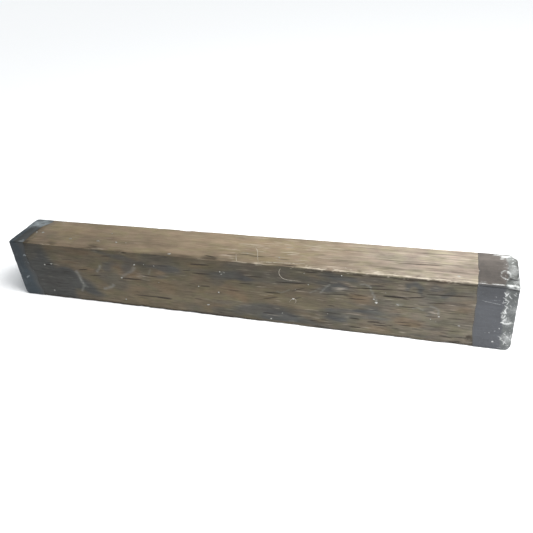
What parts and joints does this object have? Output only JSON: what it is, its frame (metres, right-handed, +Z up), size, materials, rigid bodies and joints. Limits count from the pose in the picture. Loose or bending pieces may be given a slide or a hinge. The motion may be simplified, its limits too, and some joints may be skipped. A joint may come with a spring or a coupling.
{
  "type": "wax-ended hardwood stick",
  "caption": "Long rectangular stick of sawn brown hardwood with eased, worn edges; both ends are sealed in a thin dip coat of greyish wax, deeper at one end.",
  "frame": {"origin": "middle of the rectangle that the stick rests on, at the underside of the wax coats", "axes": "+X along the stick towards the deeper wax coat, +Y across its narrow side, +Z up its wide side"},
  "size_m": [0.15, 0.0154, 0.02],
  "materials": {
    "aged_hardwood": "dry, open-grained, worn",
    "milky_wax": "satin wax film, milky and cracked near the end",
    "dark_wax": "satin wax film over dark stained wood"
  },
  "bodies": {
    "root": {"wood_stick": "aged_hardwood", "wax_coat_right": "milky_wax", "wax_coat_left": "dark_wax"}
  },
  "joints": []
}
